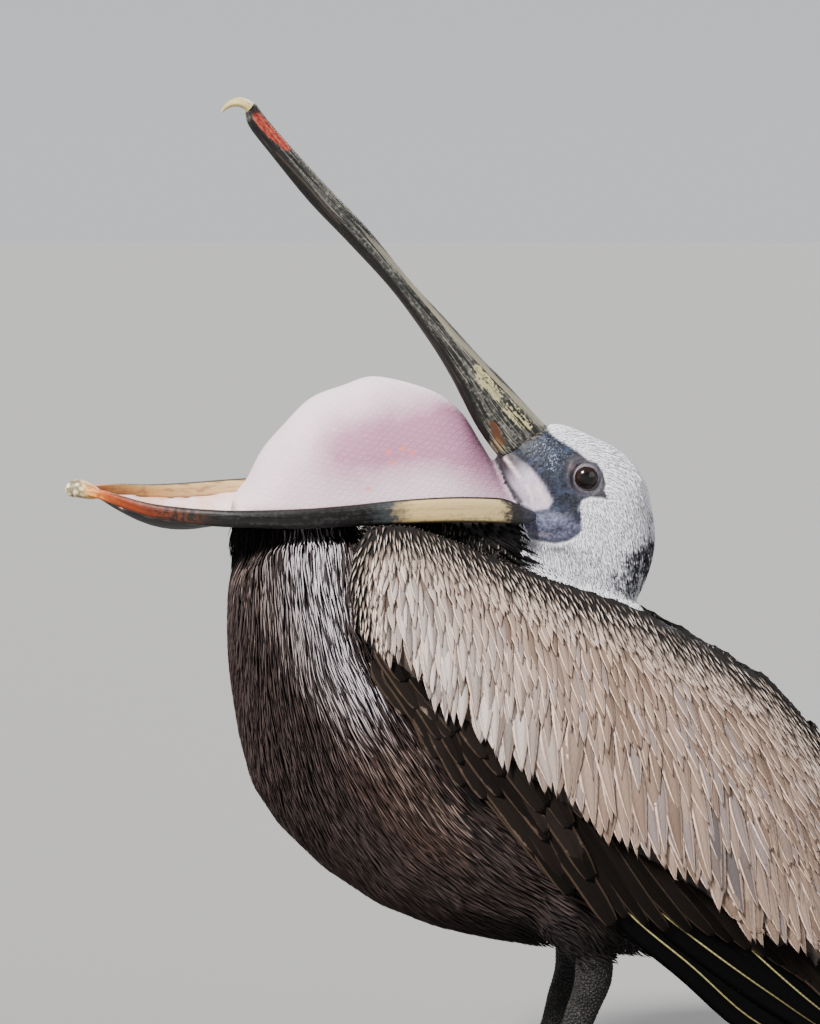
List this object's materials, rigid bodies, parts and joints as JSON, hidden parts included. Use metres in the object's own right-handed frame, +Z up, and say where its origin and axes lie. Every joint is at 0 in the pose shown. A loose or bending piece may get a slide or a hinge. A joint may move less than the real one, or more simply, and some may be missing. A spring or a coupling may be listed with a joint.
{
  "type": "brown pelican",
  "caption": "Life-size standing brown pelican with its head thrown back, its bill wide open and its pouch stretched over the bend of the neck.",
  "frame": {"origin": "centre of the bird's bounding box, on the ground plane under its feet", "axes": "+X forward, the way the breast and the lower bill point; +Y towards the bird's left; +Z up"},
  "size_m": [0.584, 0.2216, 0.6896],
  "materials": {
    "dark_feather": "matt dark brown feathers",
    "pale_feather": "satin silver-beige feathers with pale edges",
    "quill_feather": "satin blackish-brown flight and tail feathers",
    "white_feather": "matt white head feathers",
    "bill_horn": "satin grey-black horn streaked with cream",
    "jaw_horn": "satin black, cream and orange horn",
    "nail_horn": "smooth yellowish horn",
    "pouch_skin": "fine-grained pale pink bare skin",
    "eye": "polished dark brown",
    "leg_skin": "scaly grey-black skin",
    "claw_horn": "smooth black horn"
  },
  "bodies": {
    "root": {"trunk": "dark_feather", "neck_base": "dark_feather", "neck_upper": "dark_feather", "tail": "quill_feather", "head": "white_feather", "bill_upper": "bill_horn", "bill_nail": "nail_horn", "mandible_tip": "nail_horn", "mandible_left": "jaw_horn", "mandible_right": "jaw_horn", "pouch": "pouch_skin", "eye_left": "eye", "eye_right": "eye", "wing_left": "pale_feather", "wing_right": "pale_feather", "flight_feathers_left": "quill_feather", "flight_feathers_right": "quill_feather", "thigh_left": "dark_feather", "shank_left": "leg_skin", "foot_left": "leg_skin", "thigh_right": "dark_feather", "shank_right": "leg_skin", "foot_right": "leg_skin", "claw_inner_hind_left": "claw_horn", "claw_inner_left": "claw_horn", "claw_middle_left": "claw_horn", "claw_outer_left": "claw_horn", "claw_inner_hind_right": "claw_horn", "claw_inner_right": "claw_horn", "claw_middle_right": "claw_horn", "claw_outer_right": "claw_horn"}
  },
  "joints": []
}
